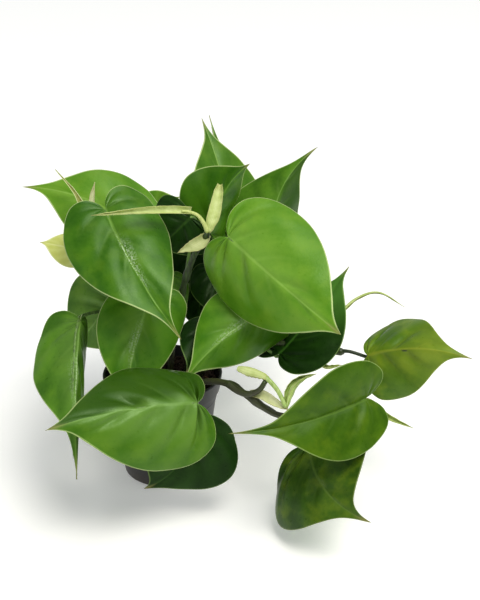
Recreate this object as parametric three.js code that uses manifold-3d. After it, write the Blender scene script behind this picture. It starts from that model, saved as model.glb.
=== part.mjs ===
// Potted heartleaf philodendron: trailing stems of heart-shaped leaves in a round plastic nursery pot.
// Millimetres, +Z up. The origin is the centre of the pot's flat base, and -Y is the front.

import * as THREE from 'three';
import { mergeVertices } from 'three/addons/utils/BufferGeometryUtils.js';
import Module from 'manifold-3d';

const wasm = await Module();
wasm.setup();

// Clearance that touching pieces keep between them.
const GAP = 0.3;

// Pot: a thin moulded cup that widens upwards to a stiff rim band.
const POT_HEIGHT = 68;
const POT_RIM_RADIUS = 37;
const POT_FOOT_RADIUS = 26;
const POT_WALL = 1.4;
const POT_FLOOR = 2;
const POT_BAND_HEIGHT = 11;
const POT_BAND_STEP = 1.6;
const POT_EDGE = 0.7;
const POT_SIDES = 32;
const DRAIN_COUNT = 6;
const DRAIN_RADIUS = 3;
const DRAIN_RING_RADIUS = 17;
const DRAIN_SIDES = 12;

// Soil: fills the pot to a little below its rim, with a coarse crumbled top.
const SOIL_LEVEL = 61;
const SOIL_RINGS = 5;
const SOIL_SIDES = 24;
const SOIL_CRUMB = 1.1;

// Ripples whose sum never repeats across the pot: waves along x and y (radians a millimetre),
// phase, and share of the crumb height.
const SOIL_RIPPLES = [
  [0.71, 0.63, 0.4, 0.5],
  [0.71, -0.63, 0.4, 0.5],
  [0.37, -0.92, 1.3, 0.6],
  [1.13, 0.55, 1.6, 0.5],
];

// Stems: round shoots with thicker joints where the leaves grow.
const STEM_RADIUS = 2.1;
const STEM_JOINT = 0.35;
const STEM_JOINT_REACH = 3.5;
const STEM_TAPER = 0.2;
const STEM_SIDES = 6;
const STEM_STEP = 8;

// Leaves: a heart-shaped blade on a thin stalk that runs on beneath it as the midrib.
const BLADE_THICKNESS = 0.9;
const BLADE_ROWS = 12;
const BLADE_COLUMNS = 2;
const STALK_RADIUS = 1.15;
const STALK_SIDES = 5;
const STALK_STEPS = 6;
const STALK_BEND = 0.36;
const STALK_SINK = 0.9;
const STALK_POINTS = 4;
const MIDRIB_REACH = 0.16;

// A stalk arrives at its blade from behind and below, in the blade's own axes.
const STALK_ARRIVAL = [0, -0.65, -0.75];

// The blades turn their faces this many degrees above the horizon.
const LIGHT_HEIGHT = 25;

// Bracts: oval bars with few sides, narrower at the foot.
const BRACT_STEP = 6;
const BRACT_SIDES = 6;
const BRACT_FOOT = 0.4;
const BRACT_FOOT_RISE = 2;
const BRACT_TAPER_POWER = 1.6;

// Half of a leaf's outline from the notch where the stalk joins, round a lobe, to the tip:
// x is the share of half the width, y the share of the length from the notch to the tip.
const HALF_OUTLINE = new THREE.SplineCurve([
  new THREE.Vector2(0, 0),
  new THREE.Vector2(0.1, -0.06),
  new THREE.Vector2(0.32, -0.11),
  new THREE.Vector2(0.61, -0.1),
  new THREE.Vector2(0.87, 0),
  new THREE.Vector2(0.99, 0.145),
  new THREE.Vector2(0.975, 0.315),
  new THREE.Vector2(0.84, 0.475),
  new THREE.Vector2(0.63, 0.62),
  new THREE.Vector2(0.37, 0.745),
  new THREE.Vector2(0.16, 0.84),
  new THREE.Vector2(0.055, 0.92),
  new THREE.Vector2(0, 1),
]);

// The side veins leave the midrib only past this share of the outline, and closer together at first.
const VEIN_START = 0.4;
const VEIN_SPREAD = 1.3;

// Stem routes from the soil outwards. The first point is under the surface.
const STEM_ROUTES = {
  stem_left: [[-14, -6, 41], [-16, -5, 62], [-21, 7, 90], [-29, 14, 116], [-37, 16, 140]],
  stem_back_left: [[-7, 11, 41], [-8, 13, 62], [-9, 22, 92], [-8, 31, 122], [-5, 36, 146]],
  stem_middle: [[3, 2, 41], [4, 4, 62], [8, 10, 95], [15, 13, 125], [23, 10, 147], [29, 6, 158]],
  stem_upright: [[12, 7, 41], [14, 9, 62], [25, 16, 92], [38, 21, 120], [48, 26, 142], [55, 35, 157]],
  stem_right: [[19, -3, 41], [20, -3, 62], [36, -1, 82], [62, -3, 90], [88, -10, 90], [110, -18, 91]],
  stem_low_right: [
    [14, -14, 41], [16, -15, 62], [28, -27, 76], [43, -38, 80], [54, -46, 76], [70, -50, 67], [91, -50, 67],
    [112, -54, 75],
  ],
  stem_front: [[-2, -17, 41], [-2, -19, 62], [3, -32, 77], [12, -45, 78], [22, -52, 73]],
  stem_back: [[0, 20, 41], [1, 22, 62], [2, 36, 84], [4, 52, 104], [6, 66, 120]],
  stem_back_right: [[13, 17, 41], [16, 20, 62], [30, 32, 85], [48, 44, 106], [65, 55, 122]],
};

// Leaves: name, stem, place along the stem, base, tip, width, and the pose in degrees. look is the
// way round the pot that the blade faces (0 is the front), roll turns it about its own midrib, fold
// lifts both halves from the midrib, bow curves them down, droop bends the length, sway is how far
// the midrib bulges sideways in millimetres, and drip is how much of the length the narrow tip takes.
const LEAVES = [
  ['leaf_crown_left', 'stem_left', 0.78, [-31, 10, 171], [15, -46, 114], 64, 0, -20, 20, 60, 18, 4, 0.1],
  ['leaf_crown_right', 'stem_upright', 0.86, [41, -9, 161], [103, -60, 124], 80, 0, 14, -3, 50, 18, 0, -0.12],
  ['leaf_far_left', 'stem_back_left', 0.96, [-15, 31, 149], [-88, 53, 170], 61, 0, 10, -4, 38, 8, 7, 0.12],
  ['leaf_top', 'stem_back_right', 0.94, [46, 81, 128], [22, 126, 194], 60, 0, 36, 10, 24, 14, 0, 0.1],
  ['leaf_top_front', 'stem_upright', 0.7, [30, 32, 147], [54, 66, 181], 56, 0, 46, -9, 30, 11, -8, 0],
  ['leaf_top_right', 'stem_back_right', 0.77, [69, 50, 123], [99, 96, 183], 74, 0, 12, -37, 10, 5, -12, 0.2],
  ['leaf_behind_bud', 'stem_middle', 0.72, [18, 22, 161], [-2, 22, 140], 46, 0, 0, 12, 50, 20, 0, 0],
  ['leaf_under_left', 'stem_middle', 0.5, [4, 24, 122], [10, -6, 94], 44, 0, -30, 0, 60, 12, 4, 0],
  ['leaf_shaded_left', 'stem_left', 0.5, [-31, 20, 107], [-58, 25, 71], 58, 0, 0, 10, 50, 20, 0, 0],
  ['leaf_hanging_left', 'stem_left', 0.62, [-45, -21, 113], [-42, -87, 48], 63, 0, -34, -44, 30, 24, 4, 0.3],
  ['leaf_middle_left', 'stem_middle', 0.62, [-5, -3, 120], [-19, -38, 62], 52, 0, -14, 14, 40, 18, 4, 0],
  ['leaf_front', 'stem_front', 0.9, [24, -62, 82], [-56, -92, 83], 78, 0, 23, -15, 40, 20, 2, 0],
  ['leaf_front_under', 'stem_front', 0.97, [22, -49, 66], [-9, -55, 19], 66, 0, -4, 6, 30, 30, -8, 0],
  ['leaf_middle_right', 'stem_right', 0.45, [68, -8, 116], [15, -34, 80], 54, 0, -5, -15, 32, 24, 5, 0],
  ['leaf_shaded_right', 'stem_right', 0.55, [72, -12, 87], [115, 23, 129], 60, 0, -50, 10, 50, 0, 3, 0.08],
  ['leaf_far_right', 'stem_right', 0.97, [123, -26, 93], [179, -49, 103], 66, 0, -15, -26, 30, 36, -4, 0.2],
  ['leaf_low_right', 'stem_low_right', 0.97, [118, -64, 86], [42, -97, 84], 55, 0, -10, 30, 30, 20, -3, 0.34],
  ['leaf_hanging_right', 'stem_low_right', 0.58, [88, -55, 49], [118, -111, 37],
    80, 0, 10, 12, 50, 18, 8, 0.2],
  ['leaf_back_high', 'stem_back', 0.95, [-4, 72, 140], [-16, 124, 114], 54, 185, 0, 10, 45, 24, 0, 0],
  ['leaf_back_left_high', 'stem_back_left', 0.85, [-32, 56, 136], [-70, 90, 114],
    50, 215, 0, 10, 45, 24, 0, 0],
  ['leaf_back_left', 'stem_back_left', 0.6, [-26, 50, 112], [-62, 82, 84], 54, 225, 0, 10, 45, 24, 0, 0],
  ['leaf_back_low', 'stem_back', 0.7, [0, 70, 96], [-4, 112, 62], 58, 185, 0, 10, 45, 24, 0, 0],
  ['leaf_back_right_high', 'stem_back_right', 0.96, [75, 92, 101], [101, 124, 76],
    54, 150, 0, 10, 45, 24, 0, 0],
  ['leaf_back_right', 'stem_back_right', 0.7, [58, 66, 94], [84, 106, 66], 56, 150, 0, 10, 45, 24, 0, 0],
  ['leaf_back_low_left', 'stem_back', 0.4, [-22, 44, 88], [-46, 76, 46], 52, 215, 0, 10, 45, 24, 0, 0],
  ['leaf_back_low_right', 'stem_back_right', 0.45, [36, 52, 84], [48, 88, 42], 54, 160, 0, 10, 45, 24, 0, 0],
  ['leaf_inner_middle', 'stem_upright', 0.4, [32, 40, 120], [32, 14, 95], 34, 0, 0, 10, 50, 20, 0, 0],
  ['leaf_inner_right', 'stem_right', 0.25, [30, 2, 98], [16, -28, 82], 32, 0, 0, 10, 50, 20, 0, 0],
  ['leaf_top_behind', 'stem_back', 0.9, [38, 108, 134], [27, 138, 193], 30, 0, 65, 10, 30, 12, 0, 0.2],
  ['leaf_tuft', 'stem_back_left', 0.9, [-9, 55, 152], [10, 61, 161], 26, 0, 0, 10, 30, 12, 0, 0],
  ['leaf_inner_back', 'stem_back', 0.5, [16, 53, 136], [13, 42, 104], 46, 0, 0, 10, 40, 16, 0, 0],
  ['leaf_young_left', 'stem_left', 0.88, [-47, 16, 142], [-74, 23, 145], 24, 0, 20, 10, 40, 10, 0, 0],
  ['leaf_inner_low', 'stem_back', 0.58, [22, 50, 104], [22, 40, 73], 32, 0, 0, 10, 40, 14, 0, 0],
];

// Leaves that have just opened and are still pale.
const YOUNG_LEAVES = ['leaf_young_left'];

// Bracts: the pale, half-rolled sheaths that new leaves leave behind. Name, stem, place along it,
// width, thickness, the share of them that is left at the tip, and the route.
const BRACTS = [
  ['bract_long', 'stem_middle', 0.98, 5, 3, 0.12,
    [[29, 6, 158], [25, 8, 167], [15, 6, 173], [-6, -3, 175], [-36, -14, 176]]],
  ['bract_upright', 'stem_middle', 0.9, 8, 5, 0.3,
    [[28, 8, 155], [32, 12, 165], [34, 20, 172], [36, 30, 180]]],
  ['bract_small', 'stem_middle', 0.94, 5, 8, 0.12, [[29, 6, 156], [24, -2, 155], [12, -11, 152]]],
  ['bract_left_upright', 'stem_left', 0.89, 4.4, 5, 0.12, [[-34, 16, 131], [-38, 29, 158], [-40, 36, 179]]],
  ['bract_left_spike', 'stem_left', 0.98, 2, 2, 0.12, [[-38, 17, 140], [-46, 31, 160], [-65, 45, 184]]],
  ['bract_right_spike', 'stem_right', 0.94, 3.4, 2.2, 0.12,
    [[106, -16, 91], [107, 4, 100], [119, 16, 109.5], [133, 18, 113.5], [149, 11, 107]]],
  ['bract_low_spike', 'stem_low_right', 0.98, 5, 2.6, 0.12,
    [[111, -53.5, 75], [120, -56, 79], [130, -64, 75], [144, -74, 73]]],
  ['bract_right_stub', 'stem_right', 0.85, 3.2, 2.2, 0.12, [[95, -12, 90], [98, -26, 86], [107, -34, 91]]],
];

// The young shoot at the low right: a pale stem, its sheath and a new leaf that is still rolled up.
const SHOOT_STEM = 'stem_low_right';
const SHOOT_BARS = [
  [3.2, 3.2, 0.8,
    [[45, -39, 80], [47, -41, 88], [54, -44, 92.5], [62, -48, 91], [69, -53, 85.5], [74, -59, 78]]],
  [5, 2.4, 0.6, [[48, -41.5, 81], [57, -50, 83], [74, -60, 77]]],
  [4.6, 3.4, 0.15, [[74, -58, 77], [77, -47, 84], [82, -43, 87], [92, -43, 90]]],
];

// Turns a closed geometry into a solid that can be joined and cut.
function solid(geometry) {
  const bare = new THREE.BufferGeometry();
  bare.setAttribute('position', geometry.getAttribute('position').clone());
  if (geometry.index) bare.setIndex(geometry.index.clone());
  const merged = mergeVertices(bare, 1e-4);
  const index = merged.index.array;
  const kept = [];
  for (let i = 0; i < index.length; i += 3) {
    const [a, b, c] = [index[i], index[i + 1], index[i + 2]];
    if (a !== b && b !== c && c !== a) kept.push(a, b, c);
  }
  return new wasm.Manifold(new wasm.Mesh({
    numProp: 3,
    vertProperties: Float32Array.from(merged.getAttribute('position').array),
    triVerts: Uint32Array.from(kept),
  }));
}

// A cut can leave a scrap behind: only the largest body is kept.
function geometryOf(body) {
  const pieces = body.decompose().sort((a, b) => b.volume() - a.volume());
  const mesh = pieces[0].getMesh();
  const geometry = new THREE.BufferGeometry();
  const position = Float32Array.from(mesh.vertProperties);
  geometry.setAttribute('position', new THREE.BufferAttribute(position, 3));
  geometry.setIndex(new THREE.BufferAttribute(Uint32Array.from(mesh.triVerts), 1));
  geometry.computeVertexNormals();
  return geometry;
}

function vector(point) {
  return new THREE.Vector3(...point);
}

// A round or oval bar along a curve. radiusAt gives the factor on the section along the curve.
function bar(curve, across, thick, steps, sides, radiusAt) {
  const ring = new THREE.EllipseCurve(0, 0, thick, across).getPoints(sides);
  const geometry = new THREE.ExtrudeGeometry(new THREE.Shape(ring), {
    steps,
    bevelEnabled: false,
    extrudePath: curve,
  });
  const centres = curve.getSpacedPoints(steps);
  const position = geometry.getAttribute('position');
  const point = new THREE.Vector3();
  for (let i = 0; i < position.count; i += 1) {
    point.fromBufferAttribute(position, i);
    let nearest = 0;
    for (let k = 1; k < centres.length; k += 1) {
      if (point.distanceToSquared(centres[k]) < point.distanceToSquared(centres[nearest])) nearest = k;
    }
    point.sub(centres[nearest]).multiplyScalar(radiusAt(nearest / steps)).add(centres[nearest]);
    position.setXYZ(i, point.x, point.y, point.z);
  }
  return geometry;
}

function material(color, roughness) {
  return new THREE.MeshStandardMaterial({ color, roughness, metalness: 0 });
}

const LEAF_GREEN = material('#3f7a24', 0.38);
const YOUNG_GREEN = material('#a9bf5a', 0.45);
const STEM_GREEN = material('#4c6b2a', 0.55);
const BRACT_GREEN = material('#c3cf7d', 0.5);
const POT_BLACK = material('#26282a', 0.45);
const SOIL_BROWN = material('#33241a', 0.95);

const plant = new THREE.Group();

function addPiece(name, geometry, surface) {
  const mesh = new THREE.Mesh(geometry, surface);
  mesh.name = name;
  plant.add(mesh);
}

// Pot and the space inside it
function potRadius(z) {
  return POT_FOOT_RADIUS + (POT_RIM_RADIUS - POT_BAND_STEP - POT_FOOT_RADIUS) * (z / POT_HEIGHT);
}

function potBody() {
  const bandFoot = POT_HEIGHT - POT_BAND_HEIGHT;
  const profile = [
    [0, 0],
    [POT_FOOT_RADIUS - POT_EDGE, 0],
    [potRadius(POT_EDGE), POT_EDGE],
    [potRadius(bandFoot), bandFoot],
    [potRadius(bandFoot) + POT_BAND_STEP, bandFoot + POT_EDGE],
    [POT_RIM_RADIUS, POT_HEIGHT - POT_EDGE],
    [POT_RIM_RADIUS - POT_EDGE, POT_HEIGHT],
    [POT_RIM_RADIUS - POT_EDGE - POT_WALL / 2, POT_HEIGHT],
    [potRadius(bandFoot) + POT_BAND_STEP - POT_WALL, bandFoot + 2 * POT_EDGE],
    [potRadius(bandFoot) - POT_WALL, bandFoot],
    [potRadius(POT_FLOOR) - POT_WALL, POT_FLOOR],
    [0, POT_FLOOR],
  ].map(([x, y]) => new THREE.Vector2(x, y));
  const cup = new THREE.LatheGeometry(profile, POT_SIDES);
  cup.rotateX(Math.PI / 2);
  let body = solid(cup);
  for (let i = 0; i < DRAIN_COUNT; i += 1) {
    const drain = new THREE.CylinderGeometry(DRAIN_RADIUS, DRAIN_RADIUS, 3 * POT_FLOOR, DRAIN_SIDES);
    drain.rotateX(Math.PI / 2);
    drain.translate(DRAIN_RING_RADIUS, 0, POT_FLOOR / 2);
    drain.rotateZ(((i + 0.5) / DRAIN_COUNT) * 2 * Math.PI);
    body = body.subtract(solid(drain));
  }
  return body;
}

function soilHeight(x, y) {
  let ripple = 0;
  for (const [alongX, alongY, phase, share] of SOIL_RIPPLES) {
    ripple += share * Math.sin(alongX * x + alongY * y + phase);
  }
  return SOIL_LEVEL + SOIL_CRUMB * ripple;
}

function soilBody() {
  const foot = POT_FLOOR + GAP;
  const innerRadius = (z) => potRadius(z) - POT_WALL - GAP;
  const bandFoot = POT_HEIGHT - POT_BAND_HEIGHT;
  const profile = [[0, foot], [innerRadius(foot), foot], [innerRadius(bandFoot), bandFoot]];
  for (let i = 0; i <= SOIL_RINGS; i += 1) {
    profile.push([innerRadius(bandFoot) * (1 - i / SOIL_RINGS), SOIL_LEVEL]);
  }
  const lump = new THREE.LatheGeometry(profile.map(([x, y]) => new THREE.Vector2(x, y)), SOIL_SIDES);
  lump.rotateX(Math.PI / 2);
  const position = lump.getAttribute('position');
  for (let i = 0; i < position.count; i += 1) {
    const [x, y, z] = [position.getX(i), position.getY(i), position.getZ(i)];
    if (z > (bandFoot + SOIL_LEVEL) / 2) position.setZ(i, soilHeight(x, y));
  }
  return solid(lump);
}

// Stems
const stems = {};
for (const [name, route] of Object.entries(STEM_ROUTES)) {
  const curve = new THREE.CatmullRomCurve3(route.map(vector), false, 'centripetal');
  stems[name] = { curve, joints: [], length: curve.getLength() };
}
for (const [, stem, at] of [...LEAVES, ...BRACTS]) stems[stem].joints.push(at);

// A stem is thicker at its joints and tapers a little to its tip. spare widens it all round.
function stemBody(stem, spare) {
  const steps = Math.round(stem.length / STEM_STEP);
  const radiusAt = (u) => {
    let swell = 0;
    for (const joint of stem.joints) {
      const away = Math.abs(u - joint) * stem.length;
      swell = Math.max(swell, 1 - away / (STEM_JOINT_REACH + STEM_STEP / 2));
    }
    return 1 + STEM_JOINT * Math.max(swell, 0) - STEM_TAPER * u + spare / STEM_RADIUS;
  };
  return solid(bar(stem.curve, STEM_RADIUS, STEM_RADIUS, steps, STEM_SIDES, radiusAt));
}

// Leaf blades. A blade is laid out flat, with its notch at the origin and its tip along +Y, then
// bent and turned into place.
function leafFrame([name, stem, at, base, tip, width, look, roll, fold, bow, droop, sway, drip]) {
  const radians = THREE.MathUtils.degToRad;
  const turn = radians(Math.max(droop, 1));
  const chord = vector(tip).sub(vector(base));
  const length = (chord.length() * turn / 2) / Math.sin(turn / 2);
  const along = chord.clone().normalize();
  const light = new THREE.Vector3(
    Math.sin(radians(look)) * Math.cos(radians(LIGHT_HEIGHT)),
    -Math.cos(radians(look)) * Math.cos(radians(LIGHT_HEIGHT)),
    Math.sin(radians(LIGHT_HEIGHT)),
  );
  const face = light.sub(along.clone().multiplyScalar(light.dot(along))).normalize();
  face.applyAxisAngle(along, radians(roll));
  const side = new THREE.Vector3().crossVectors(along, face);
  // The blade leaves its base at half the droop above the chord.
  const place = new THREE.Matrix4().makeBasis(side, along, face);
  place.multiply(new THREE.Matrix4().makeRotationX(turn / 2));
  place.premultiply(new THREE.Matrix4().makeTranslation(...base));
  return { name, stem, at, width, length, fold: radians(fold), bow: radians(bow), turn, sway, drip, place };
}

function bladePoint(leaf, x, y, z) {
  const curl = leaf.bow / (leaf.width / 2);
  const lean = leaf.fold - curl * Math.abs(x);
  const out = (Math.sin(leaf.fold) - Math.sin(lean)) / curl - z * Math.sin(lean);
  const up = (Math.cos(lean) - Math.cos(leaf.fold)) / curl + z * Math.cos(lean);
  const share = Math.max(y / leaf.length, 0);
  const angle = leaf.turn * share;
  const radius = leaf.length / leaf.turn;
  const point = new THREE.Vector3(
    Math.sign(x) * out + leaf.sway * 4 * share * (1 - share),
    y > 0 ? (radius + up) * Math.sin(angle) : y,
    y > 0 ? (radius + up) * Math.cos(angle) - radius : up,
  );
  return point.applyMatrix4(leaf.place);
}

function bladeGeometry(leaf) {
  const points = [];
  const index = [];
  const across = 2 * BLADE_COLUMNS + 1;
  const id = (row, column, faceSide) => 2 * (row * across + column + BLADE_COLUMNS) + faceSide;
  for (let row = 0; row <= BLADE_ROWS; row += 1) {
    const t = row / BLADE_ROWS;
    const edge = HALF_OUTLINE.getPoint(t);
    edge.y -= leaf.drip * Math.max(edge.y, 0) ** 2 * (1 - edge.y ** 4);
    const root = Math.max((t - VEIN_START) / (1 - VEIN_START), 0) ** VEIN_SPREAD;
    for (let column = -BLADE_COLUMNS; column <= BLADE_COLUMNS; column += 1) {
      const q = column / BLADE_COLUMNS;
      const x = q * edge.x * leaf.width / 2;
      const y = (root + (edge.y - root) * Math.abs(q)) * leaf.length;
      for (const z of [BLADE_THICKNESS / 2, -BLADE_THICKNESS / 2]) points.push(bladePoint(leaf, x, y, z));
    }
  }
  // Both faces are split along the same diagonals, which mirror each other about the midrib.
  const quad = (a, b, c, d) => index.push(a, b, c, a, c, d);
  for (let row = 0; row < BLADE_ROWS; row += 1) {
    for (let column = -BLADE_COLUMNS; column < BLADE_COLUMNS; column += 1) {
      const corner = (r, c, faceSide) => id(row + r, column + c, faceSide);
      if (column < 0) {
        quad(corner(0, 0, 0), corner(0, 1, 0), corner(1, 1, 0), corner(1, 0, 0));
        index.push(corner(0, 0, 1), corner(1, 1, 1), corner(0, 1, 1));
        index.push(corner(0, 0, 1), corner(1, 0, 1), corner(1, 1, 1));
      } else {
        quad(corner(0, 1, 0), corner(1, 1, 0), corner(1, 0, 0), corner(0, 0, 0));
        index.push(corner(0, 1, 1), corner(1, 0, 1), corner(1, 1, 1));
        index.push(corner(0, 1, 1), corner(0, 0, 1), corner(1, 0, 1));
      }
    }
    const [left, right] = [-BLADE_COLUMNS, BLADE_COLUMNS];
    quad(id(row, left, 0), id(row + 1, left, 0), id(row + 1, left, 1), id(row, left, 1));
    quad(id(row, right, 0), id(row, right, 1), id(row + 1, right, 1), id(row + 1, right, 0));
  }
  const geometry = new THREE.BufferGeometry().setFromPoints(points);
  geometry.setIndex(index);
  return geometry;
}

// The stalk leaves its stem, comes up behind the blade and runs on under it as the midrib.
function stalkCurve(leaf) {
  const start = stems[leaf.stem].curve.getPointAt(leaf.at);
  const end = bladePoint(leaf, 0, 0, -STALK_SINK);
  const direction = vector(STALK_ARRIVAL).transformDirection(leaf.place);
  const reach = STALK_BEND * start.distanceTo(end);
  const free = new THREE.CubicBezierCurve3(
    start,
    start.clone().lerp(end, STALK_BEND).add(new THREE.Vector3(0, 0, reach / 2)),
    end.clone().addScaledVector(direction, reach),
    end,
  );
  const points = free.getPoints(STALK_POINTS);
  points.push(bladePoint(leaf, 0, MIDRIB_REACH / 2 * leaf.length, -STALK_SINK));
  points.push(bladePoint(leaf, 0, MIDRIB_REACH * leaf.length, -STALK_SINK / 2));
  return new THREE.CatmullRomCurve3(points, false, 'centripetal');
}

function leafBody(leaf) {
  const stalk = bar(stalkCurve(leaf), STALK_RADIUS, STALK_RADIUS, STALK_STEPS, STALK_SIDES, () => 1);
  return solid(bladeGeometry(leaf)).add(solid(stalk)).subtract(stemBody(stems[leaf.stem], GAP));
}

addPiece('pot', geometryOf(potBody()), POT_BLACK);

let soil = soilBody();
for (const [name, stem] of Object.entries(stems)) {
  addPiece(name, geometryOf(stemBody(stem, 0)), STEM_GREEN);
  soil = soil.subtract(stemBody(stem, GAP));
}
addPiece('soil', geometryOf(soil), SOIL_BROWN);

for (const row of LEAVES) {
  const leaf = leafFrame(row);
  const green = YOUNG_LEAVES.includes(leaf.name) ? YOUNG_GREEN : LEAF_GREEN;
  addPiece(leaf.name, geometryOf(leafBody(leaf)), green);
}

// Bracts and the young shoot
function taperedBar(width, thick, tipShare, route) {
  const curve = new THREE.CatmullRomCurve3(route.map(vector), false, 'centripetal');
  const taper = (u) => 1 - (1 - tipShare) * u ** BRACT_TAPER_POWER;
  const radiusAt = (u) => Math.min(1, BRACT_FOOT + BRACT_FOOT_RISE * u) * taper(u);
  const steps = Math.max(5, Math.round(curve.getLength() / BRACT_STEP));
  return solid(bar(curve, width / 2, thick / 2, steps, BRACT_SIDES, radiusAt));
}

for (const [name, stem, , ...form] of BRACTS) {
  const body = taperedBar(...form).subtract(stemBody(stems[stem], GAP));
  addPiece(name, geometryOf(body), BRACT_GREEN);
}

const shoot = SHOOT_BARS
  .map((form) => taperedBar(...form))
  .reduce((body, next) => body.add(next))
  .subtract(stemBody(stems[SHOOT_STEM], GAP));
addPiece('shoot_young', geometryOf(shoot), BRACT_GREEN);

export default plant;
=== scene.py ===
import math
import random

import bmesh
import bpy
from mathutils import Matrix, Quaternion, Vector, noise


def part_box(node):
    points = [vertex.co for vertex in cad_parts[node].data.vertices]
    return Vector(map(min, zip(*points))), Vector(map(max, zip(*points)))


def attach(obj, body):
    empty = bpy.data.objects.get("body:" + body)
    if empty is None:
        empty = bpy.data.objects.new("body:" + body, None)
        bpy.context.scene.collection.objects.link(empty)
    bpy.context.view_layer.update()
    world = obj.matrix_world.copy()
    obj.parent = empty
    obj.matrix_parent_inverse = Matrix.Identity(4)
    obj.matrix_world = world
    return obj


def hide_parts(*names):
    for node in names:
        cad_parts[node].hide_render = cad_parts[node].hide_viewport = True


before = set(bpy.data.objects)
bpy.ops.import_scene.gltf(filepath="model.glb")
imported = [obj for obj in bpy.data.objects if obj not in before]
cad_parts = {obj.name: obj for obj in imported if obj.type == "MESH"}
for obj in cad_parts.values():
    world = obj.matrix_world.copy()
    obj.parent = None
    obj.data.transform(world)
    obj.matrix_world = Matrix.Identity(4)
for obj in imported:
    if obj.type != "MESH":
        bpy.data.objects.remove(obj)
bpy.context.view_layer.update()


# Pot
# A small tapered nursery pot with a stiff rim band and six drain holes in its flat base.
# Injection-moulded in one piece from charcoal polypropylene; the whole plant stands on it.
MM = 0.001               # lengths are in millimetres here, and a finished mesh is scaled to metres
pot_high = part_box("pot")[1] / MM
POT_HEIGHT = pot_high.z
POT_RIM_RADIUS = pot_high.x
POT_FOOT_RADIUS = 26
POT_WALL = 1.4
POT_FLOOR = 2
POT_BAND_HEIGHT = 11
POT_BAND_STEP = 1.6
POT_EDGE = 0.7
POT_ROUNDING = 0.28
POT_SIDES = 96
STACKING_RIDGE = 0.35    # a fine ring under the band that keeps stacked pots apart
RIDGE_BELOW_BAND = 6
RIDGE_WIDTH, RIDGE_SLOPE = 1.6, 0.5
DRAIN_COUNT = 6
DRAIN_RADIUS = 3
DRAIN_RING_RADIUS = 17
POT_CHARCOAL = "#222324"
POT_SCUFF = "#3f403e"
POT_DUST = "#6b5a47"
SMOOTH = {"interpolation_type": "SMOOTHSTEP"}    # settings that many nodes share
COLOURS = {"data_type": "RGBA"}


def linear(code):
    """An sRGB hex colour as Blender's linear colour."""
    parts = [int(code[i:i + 2], 16) / 255 for i in (1, 3, 5)]
    return [c / 12.92 if c <= 0.04045 else ((c + 0.055) / 1.055) ** 2.4 for c in parts] + [1]


def add_node(tree, kind, inputs=None, **settings):
    """Adds a shader node with its settings and inputs."""
    node = tree.nodes.new("ShaderNode" + kind)
    for name, value in settings.items():
        setattr(node, name, value)
    fill(node, inputs or {})
    return node


def fill(node, inputs):
    """Fills a node's inputs, each with a value or a link. A node stands for its first output in use."""
    for socket, source in inputs.items():
        if isinstance(source, bpy.types.Node):
            source = next(output for output in source.outputs if output.enabled)
        if isinstance(source, bpy.types.NodeSocket):
            node.id_data.links.new(source, node.inputs[socket])
        else:
            node.inputs[socket].default_value = source


def new_material(name, roughness, ior=1.5):
    """A material with a Principled shader. Returns it, its node tree and the shader."""
    made = bpy.data.materials.new(name)
    made.use_nodes = True
    shader = made.node_tree.nodes["Principled BSDF"]
    fill(shader, {"Roughness": roughness, "IOR": ior})
    return made, made.node_tree, shader


def mesh_of(name, bm):
    """Turns a bmesh in millimetres into a mesh in metres."""
    bmesh.ops.scale(bm, vec=Vector((MM, MM, MM)), verts=bm.verts)
    mesh = bpy.data.meshes.new(name)
    bm.to_mesh(mesh)
    bm.free()
    return mesh


def new_object(name, data):
    """Puts a mesh, lamp or camera into the scene."""
    made = bpy.data.objects.new(name, data)
    bpy.context.scene.collection.objects.link(made)
    return made


def new_piece(name, bm, materials, node):
    """A shown piece of smooth faces that rides with the plant and stands for the node."""
    mesh = mesh_of(name, bm)
    mesh.polygons.foreach_set("use_smooth", [True] * len(mesh.polygons))
    for surface in materials:
        mesh.materials.append(surface)
    piece = new_object(name, mesh)
    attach(piece, "root")
    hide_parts(node)
    return piece


def pot_radius(z):
    """The pot's outer radius below its band."""
    return POT_FOOT_RADIUS + (POT_RIM_RADIUS - POT_BAND_STEP - POT_FOOT_RADIUS) * z / POT_HEIGHT


def spun(profile, sides):
    """A closed body from a profile of (radius, height) that starts and ends on the axis."""
    bm = bmesh.new()
    verts = [bm.verts.new((radius, 0, height)) for radius, height in profile]
    edges = [bm.edges.new(pair) for pair in zip(verts, verts[1:])]
    bmesh.ops.spin(
        bm, geom=verts + edges, cent=(0, 0, 0), axis=(0, 0, 1), angle=math.tau, steps=sides, use_merge=True)
    bmesh.ops.remove_doubles(bm, verts=bm.verts, dist=1e-4)
    bmesh.ops.recalc_face_normals(bm, faces=bm.faces)
    return bm


# Polypropylene, injection-moulded: a low even sheen with fine grain, paler scuffs, and dust that
# settles on the foot. The real 0.2 mm grain is drawn at 0.9 mm so that it shows.
polypropylene, tree, shader = new_material("moulded_polypropylene", roughness=0.46, ior=1.49)
place = add_node(tree, "TexCoord").outputs["Object"]
grain = add_node(tree, "TexNoise", {"Scale": 1 / (0.9 * MM), "Detail": 3, "Vector": place})
scuffs = add_node(tree, "TexNoise", {"Scale": 1 / (14 * MM), "Detail": 6, "Roughness": 0.7, "Vector": place})
scuff_mask = add_node(
    tree, "MapRange", {"From Min": 0.52, "From Max": 0.78, "To Max": 0.5, "Value": scuffs}, **SMOOTH)
height = add_node(tree, "SeparateXYZ", {"Vector": place})
foot_dust = add_node(
    tree, "MapRange",
    {"From Min": 0, "From Max": 16 * MM, "To Min": 0.4, "To Max": 0, "Value": height.outputs["Z"]}, **SMOOTH)
dust_mask = add_node(tree, "Math", {0: foot_dust, 1: scuffs}, operation="MULTIPLY")
scuffed = add_node(
    tree, "Mix", {"A": linear(POT_CHARCOAL), "B": linear(POT_SCUFF), "Factor": scuff_mask}, **COLOURS)
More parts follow.
